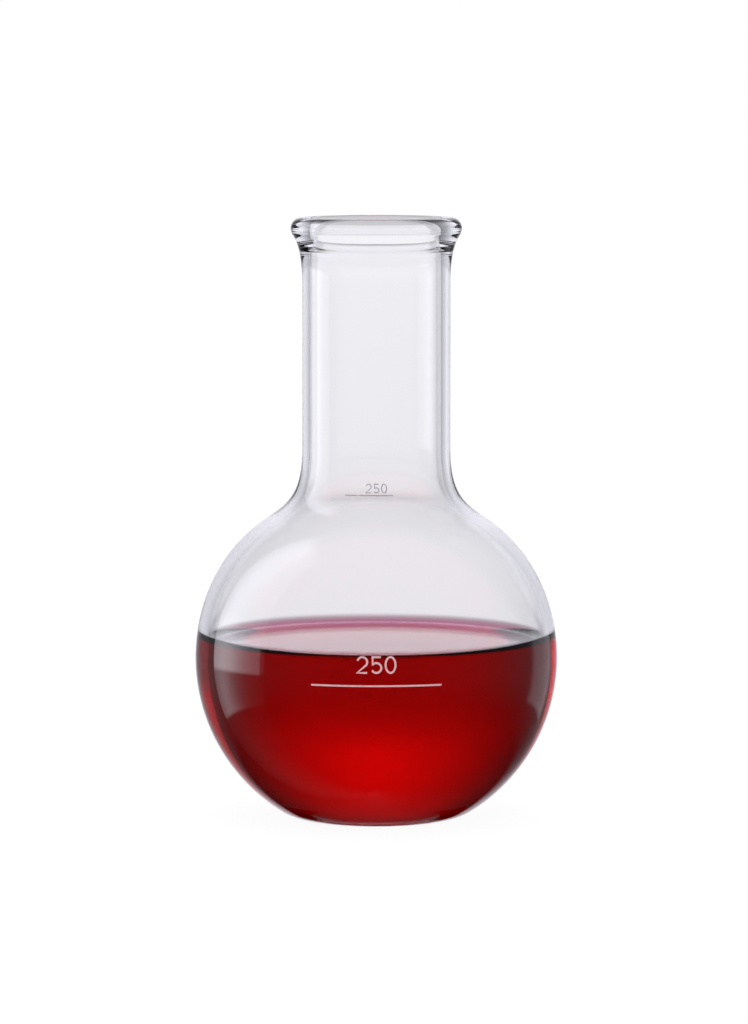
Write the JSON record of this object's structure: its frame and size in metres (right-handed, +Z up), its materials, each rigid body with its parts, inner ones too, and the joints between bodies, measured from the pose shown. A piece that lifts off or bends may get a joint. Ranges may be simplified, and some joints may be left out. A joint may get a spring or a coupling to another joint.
{
  "type": "flat-bottomed boiling flask",
  "caption": "Round-bodied clear glass flask with a flat base, a narrow neck and a beaded rim, holding a deep red liquid.",
  "frame": {"origin": "centre of the flat base's resting face, on the flask's axis", "axes": "+Z up along the flask's axis to the rim, -Y the printed front, +X to the right of someone facing the front"},
  "size_m": [0.085, 0.0852, 0.1407],
  "materials": {
    "borosilicate_glass": "clear, polished, faintly blue-grey at the edges",
    "red_liquid": "clear deep red liquid with a mirror-smooth surface",
    "neck_enamel": "fired matt enamel, grey",
    "body_enamel": "fired matt enamel, off-white"
  },
  "bodies": {
    "root": {"flask_body": "borosilicate_glass", "red_liquid": "red_liquid", "neck_mark_dash": "neck_enamel", "neck_mark_line": "neck_enamel", "neck_digit_2": "neck_enamel", "neck_digit_5": "neck_enamel", "neck_digit_0": "neck_enamel", "body_digit_2": "body_enamel", "body_digit_5": "body_enamel", "body_digit_0": "body_enamel", "body_rule": "body_enamel"}
  },
  "joints": []
}
